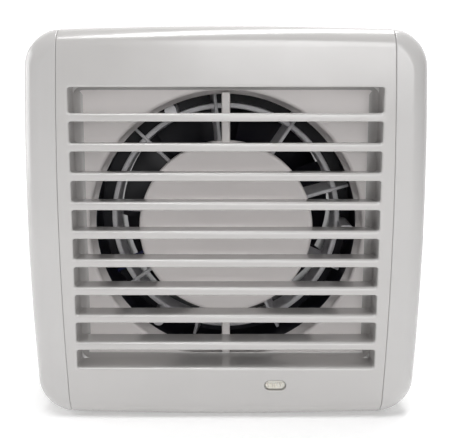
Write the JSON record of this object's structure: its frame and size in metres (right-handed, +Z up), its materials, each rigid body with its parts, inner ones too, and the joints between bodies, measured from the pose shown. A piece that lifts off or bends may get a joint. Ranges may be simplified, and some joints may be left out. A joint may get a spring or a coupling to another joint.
{
  "type": "axial extract fan",
  "caption": "Square wall-mounted axial extract fan with a louvred pull-off cover, round air aperture with a blank centre disc, and a short duct spigot.",
  "frame": {"origin": "on the duct axis where the spigot leaves the wall plane", "axes": "+X to the right seen from the room, +Y along the duct into the wall, +Z up"},
  "size_m": [0.152, 0.114, 0.151],
  "materials": {
    "cover_white": "gloss",
    "grille_white": "gloss",
    "baffle_white": "satin",
    "lens_ivory": "gloss",
    "white_carrier": "satin",
    "dark_housing": "satin",
    "dark_fan": "satin",
    "lamination_steel": "satin",
    "cast_alloy": "satin",
    "zinc_steel": "satin",
    "ground_steel": "polished",
    "sintered_bronze": "matte",
    "terminal_brass": "satin",
    "ring_copper": "satin",
    "winding_copper": "gloss",
    "natural_nylon": "matte",
    "washer_fibre": "matte",
    "black_rubber": "matte",
    "lead_insulation": "satin",
    "lamp_glass": "gloss"
  },
  "bodies": {
    "fixed": {"wall_base": "dark_housing", "air_chamber": "dark_housing", "duct_spigot": "dark_housing", "vane_ring": "white_carrier", "motor_cup": "white_carrier", "carrier_screws": "zinc_steel", "stator_core": "lamination_steel", "coil_bobbin": "natural_nylon", "stator_coil": "winding_copper", "shading_rings": "ring_copper", "bracket_front": "cast_alloy", "bracket_rear": "cast_alloy", "bearing_front": "sintered_bronze", "bearing_rear": "sintered_bronze", "motor_screws": "zinc_steel", "rubber_mounts": "black_rubber", "terminal_block": "natural_nylon", "terminal_contacts": "terminal_brass", "terminal_screws": "zinc_steel", "cord_clamp": "natural_nylon", "cord_clamp_screws": "zinc_steel", "cable_grommet": "black_rubber", "motor_leads": "lead_insulation", "lamp_leads": "lead_insulation", "lamp_holder": "natural_nylon", "indicator_lamp": "lamp_glass"},
    "rotor": {"shaft": "ground_steel", "rotor_core": "lamination_steel", "rotor_end_rings": "cast_alloy", "thrust_washers": "washer_fibre", "impeller_hub": "dark_fan", "impeller_blades": "dark_fan", "impeller_bush": "terminal_brass", "impeller_clip": "zinc_steel"},
    "cover": {"cover_surround": "cover_white", "grille_panel": "grille_white", "baffle_plate": "baffle_white", "baffle_disc": "baffle_white", "indicator_lens": "lens_ivory"}
  },
  "joints": [
    {"name": "impeller_spin", "type": "hinge", "parent": "fixed", "child": "rotor", "pos_m": [0, 0, 0], "axis": [0, 1, 0], "continuous": true},
    {"name": "cover_pull", "type": "slide", "parent": "fixed", "child": "cover", "axis": [0, -1, 0], "range_m": [0, 0.06]}
  ]
}
